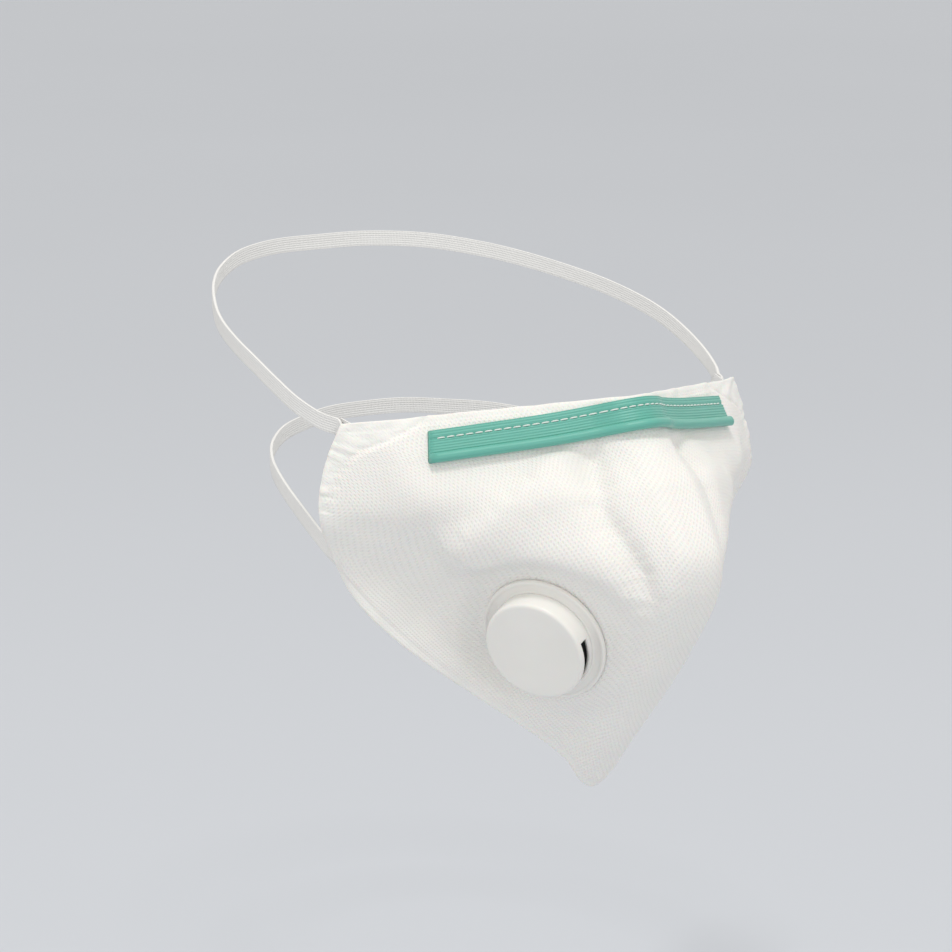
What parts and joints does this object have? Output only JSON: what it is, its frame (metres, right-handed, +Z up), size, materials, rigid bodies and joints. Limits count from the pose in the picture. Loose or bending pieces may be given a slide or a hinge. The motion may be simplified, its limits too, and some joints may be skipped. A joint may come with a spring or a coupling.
{
  "type": "disposable dust mask",
  "caption": "Flat-fold half mask of embossed white laminate with a ribbed nose strip, a round exhalation valve and elastic headbands, opened as worn.",
  "frame": {"origin": "centre of the face seal, in the plane of the cheek corners", "axes": "+X to the wearer's left, +Y from the mask towards the back of the head, +Z up"},
  "size_m": [0.1586, 0.2143, 0.1495],
  "materials": {
    "cover": "embossed white spunbond",
    "felt": "white needle felt",
    "filter": "white meltblown web",
    "lining": "smooth white spunbond",
    "strip": "satin teal extrusion with fine ribs",
    "wire": "soft zinc-plated steel",
    "thread": "thin pale thread",
    "foam": "soft grey foam",
    "valve_plastic": "satin white moulding",
    "flap": "dark silicone rubber",
    "elastic": "white knitted elastic"
  },
  "bodies": {
    "mask": {"outer_cover": "cover", "stiffening_layer": "felt", "filter_layer": "filter", "inner_lining": "lining", "nose_strip": "strip", "nose_wire": "wire", "nose_strip_stitches": "thread", "nose_foam": "foam", "valve_base": "valve_plastic", "valve_clamp_ring": "valve_plastic", "flap_retainer": "valve_plastic", "valve_cover": "valve_plastic", "upper_band_welds": "elastic", "lower_band_welds": "elastic"},
    "valve_flap": {"valve_flap": "flap"},
    "upper_headband": {"upper_headband": "elastic"},
    "lower_headband": {"lower_headband": "elastic"}
  },
  "joints": [
    {"name": "valve_flap_hinge", "type": "hinge", "parent": "mask", "child": "valve_flap", "pos_m": [-0.03097, -0.04202, -0.00627], "axis": [-0.4804, 0.8771, 0], "range_deg": [0, 9], "stiffness_Nm_per_rad": 0.0002, "springref_deg": -5.73},
    {"name": "upper_headband_swing", "type": "hinge", "parent": "mask", "child": "upper_headband", "pos_m": [0, 0.0063, 0.046], "axis": [1, 0, 0], "range_deg": [-10, 50]},
    {"name": "lower_headband_swing", "type": "hinge", "parent": "mask", "child": "lower_headband", "pos_m": [0, 0.009, 0.00397], "axis": [1, 0, 0], "range_deg": [-50, 5]}
  ]
}
